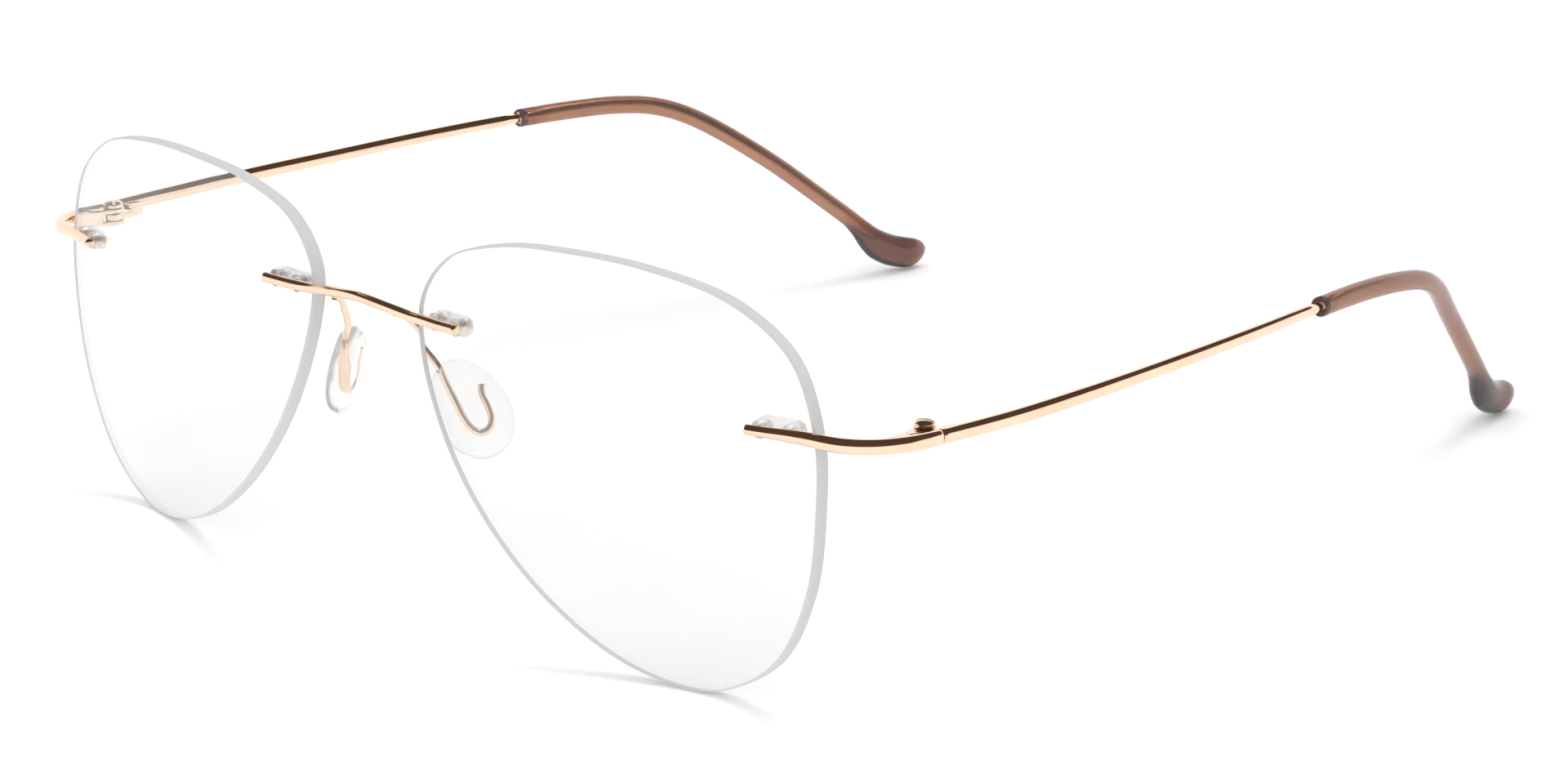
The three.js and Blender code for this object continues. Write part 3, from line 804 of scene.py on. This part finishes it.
# ---- nose pads ----------------------------------------------------------------------------
pad_up = unit(PAD_UP)
pad_face = unit(np.array(PAD_FACE) - np.dot(PAD_FACE, pad_up) * pad_up)
pad_across = np.cross(pad_face, pad_up)


def pad_point(across, up, out):
    return PAD_CENTRE + pad_across * across + pad_up * up + pad_face * out


def build_arm():
    route = Route([
        (5.3, -0.6, 3.8), (5.9, 0.75, 3.2), (6.65, 1.95, 1.8), (7.4, 3.15, -0.5),
    ] + [pad_point(across, up, 0) for across, up in PAD_WIRE])
    last = route.length
    rings = [
        section_ring(route, d, ARM_R, ARM_R, 2, (0.2, 1, 0.1), 32) for d in spread(0, last - 0.12, 0.25)
    ]
    for short, ease in ((0.04, 0.03), (0, 0.12)):
        rings.append(section_ring(route, last - short, ARM_R - ease, ARM_R - ease, 2, (0.2, 1, 0.1), 32))
    return mesh_object("pad_wire", loft(rings))


def build_pad():
    """Pebble with a flat bearing face and a domed back."""
    # distance out from the middle, scale of the outline there
    layers = (
        (-1.45, 0.5), (-1.42, 0.62), (-1.3, 0.76), (-1.1, 0.87), (-0.8, 0.945), (-0.4, 0.985), (0.0, 1),
        (0.35, 0.995), (0.7, 0.965), (1.0, 0.905), (1.22, 0.82), (1.35, 0.73), (1.4, 0.64), (1.4, 0.5),
        (1.4, 0.25),
    )
    angle = 2 * np.pi * np.arange(72) / 72
    wide = PAD_HALF_WIDE * (1 - 0.1 * np.sin(angle))
    rings = []
    for out, scale in layers:
        rings.append([
            pad_point(w * scale * math.cos(t), PAD_HALF_LONG * scale * math.sin(t), out)
            for w, t in zip(wide, angle)
        ])
    return mesh_object("pad_pebble", loft(rings), 60)


both_sides(build_arm(), "pad_wire", "front", ["pad_arm_{side}"], GOLD)
for pad in both_sides(build_pad(), "pad_pebble", "front", ["nose_pad_{side}"], SILICONE):
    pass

# ---- floor, light and camera ----------------------------------------------------------------
# Metres in the table's frame from here on. A FROM pair is the cosine where dimming starts and ends.
FLOOR_HALF = 4.0
TENT_STRENGTH = 1.05
DIM_COLOUR = (0.075, 0.045, 0.03)
CEILING_TOWARD = (0.29, -0.25, 0.924)
CEILING_FROM = (0.2, 0.26)
GAP_TOWARD = (0.98, -0.17, 0.1)
GAP_FROM = (0.72, 0.86)
SUN_STRENGTH = 0.7
SUN_WIDE, SUN_TILT = math.radians(24), math.radians(-28)
STRIP_POWER = 0.03
STRIP_LIGHTS = Vector((0, -1.5, 4.9))          # middle of the bridge, in the lens frame
STRIP_TOWARD = Vector((-0.687, -0.003, 0.727))
STRIP_AWAY = 0.8
STRIP_SIZE = (0.05, 0.08)


def build_floor():
    bm = bmesh.new()
    bmesh.ops.create_grid(bm, x_segments=1, y_segments=1, size=FLOOR_HALF)
    made = mesh_object("floor", bm)
    m = Nodes("floor_paper")
    m.link(m.tinted(m.noise(40, 3), (0.90, 0.90, 0.90), (0.92, 0.92, 0.92)), m.shader.inputs["Base Color"])
    m.set(Roughness=0.9, Specular_IOR_Level=0.1)
    made.data.materials.append(m.material)


def build_world():
    """White all round. What shines sees a light tent: a dim warm ceiling and a dim gap to one side."""
    world = bpy.data.worlds.new("tent")
    bpy.context.scene.world = world
    world.use_nodes = True
    tree = world.node_tree
    background = tree.nodes["Background"]

    def math_node(operation, first, second):
        made = tree.nodes.new("ShaderNodeMath")
        made.operation = operation
        made.use_clamp = True
        for socket, value in zip(made.inputs, (first, second)):
            tree.links.new(value, socket)
        return made.outputs["Value"]

    coord = tree.nodes.new("ShaderNodeTexCoord")

    def facing(direction, lo, hi):
        """Rises from 0 to 1 as a ray turns toward the direction."""
        toward = tree.nodes.new("ShaderNodeVectorMath")
        toward.operation = "DOT_PRODUCT"
        toward.inputs[1].default_value = direction
        tree.links.new(coord.outputs["Generated"], toward.inputs[0])
        ramp = tree.nodes.new("ShaderNodeMapRange")
        ramp.interpolation_type = "SMOOTHSTEP"
        ramp.inputs["From Min"].default_value = lo
        ramp.inputs["From Max"].default_value = hi
        tree.links.new(toward.outputs["Value"], ramp.inputs["Value"])
        return ramp.outputs["Result"]

    dim = math_node("MAXIMUM", facing(CEILING_TOWARD, *CEILING_FROM), facing(GAP_TOWARD, *GAP_FROM))
    rays = tree.nodes.new("ShaderNodeLightPath")
    mix = tree.nodes.new("ShaderNodeMix")
    mix.data_type = "RGBA"
    # inputs 6 and 7 and output 2 are this node's colour sockets
    mix.inputs[6].default_value = (1, 1, 1, 1)
    mix.inputs[7].default_value = (*DIM_COLOUR, 1)
    mirrored_once = math_node("MULTIPLY", rays.outputs["Is Glossy Ray"], rays.outputs["Glossy Depth"])
    tree.links.new(math_node("MULTIPLY", dim, mirrored_once), mix.inputs[0])
    tree.links.new(mix.outputs[2], background.inputs["Color"])
    background.inputs["Strength"].default_value = TENT_STRENGTH


def build_lights():
    """A wide sun overhead that reflections leave out, and a small strip that shines on the bridge."""
    sun = bpy.data.lights.new("overhead", "SUN")
    sun.energy = SUN_STRENGTH
    sun.angle = SUN_WIDE
    lamp = bpy.data.objects.new("overhead", sun)
    lamp.rotation_euler = (SUN_TILT, 0, 0)
    lamp.visible_glossy = False
    bpy.context.scene.collection.objects.link(lamp)
    strip = bpy.data.lights.new("strip", "AREA")
    strip.shape = "RECTANGLE"
    strip.size, strip.size_y = STRIP_SIZE
    strip.energy = STRIP_POWER
    shine = bpy.data.objects.new("strip", strip)
    shine.location = PLACE @ STRIP_LIGHTS + STRIP_TOWARD * STRIP_AWAY
    shine.rotation_euler = STRIP_TOWARD.to_track_quat("Z", "Y").to_euler()
    bpy.context.scene.collection.objects.link(shine)


# The camera looks at AIM from DISTANCE away.
AIM = Vector((0.0333, -0.0377, 0.0249))
AZIMUTH, ELEVATION, ROLL = math.radians(45.99), math.radians(17.32), math.radians(-1.765)
DISTANCE = 0.614
FOCAL_LENGTH, SENSOR_WIDTH = 121.9, 36


def build_camera():
    data = bpy.data.cameras.new("camera")
    data.lens = FOCAL_LENGTH
    data.sensor_width = SENSOR_WIDTH
    camera = bpy.data.objects.new("camera", data)
    bpy.context.scene.collection.objects.link(camera)
    level = math.cos(ELEVATION)
    back = Vector((math.sin(AZIMUTH) * level, -math.cos(AZIMUTH) * level, math.sin(ELEVATION)))
    right = Vector((math.cos(AZIMUTH), math.sin(AZIMUTH), 0))
    up = back.cross(right)
    turned_right = right * math.cos(ROLL) + up * math.sin(ROLL)
    turned_up = up * math.cos(ROLL) - right * math.sin(ROLL)
    camera.matrix_world = Matrix.Translation(AIM + back * DISTANCE) @ Matrix(
        (turned_right, turned_up, back)
    ).transposed().to_4x4()
    bpy.context.scene.camera = camera


build_floor()
build_world()
build_lights()
build_camera()
bpy.context.scene.view_settings.view_transform = "Standard"
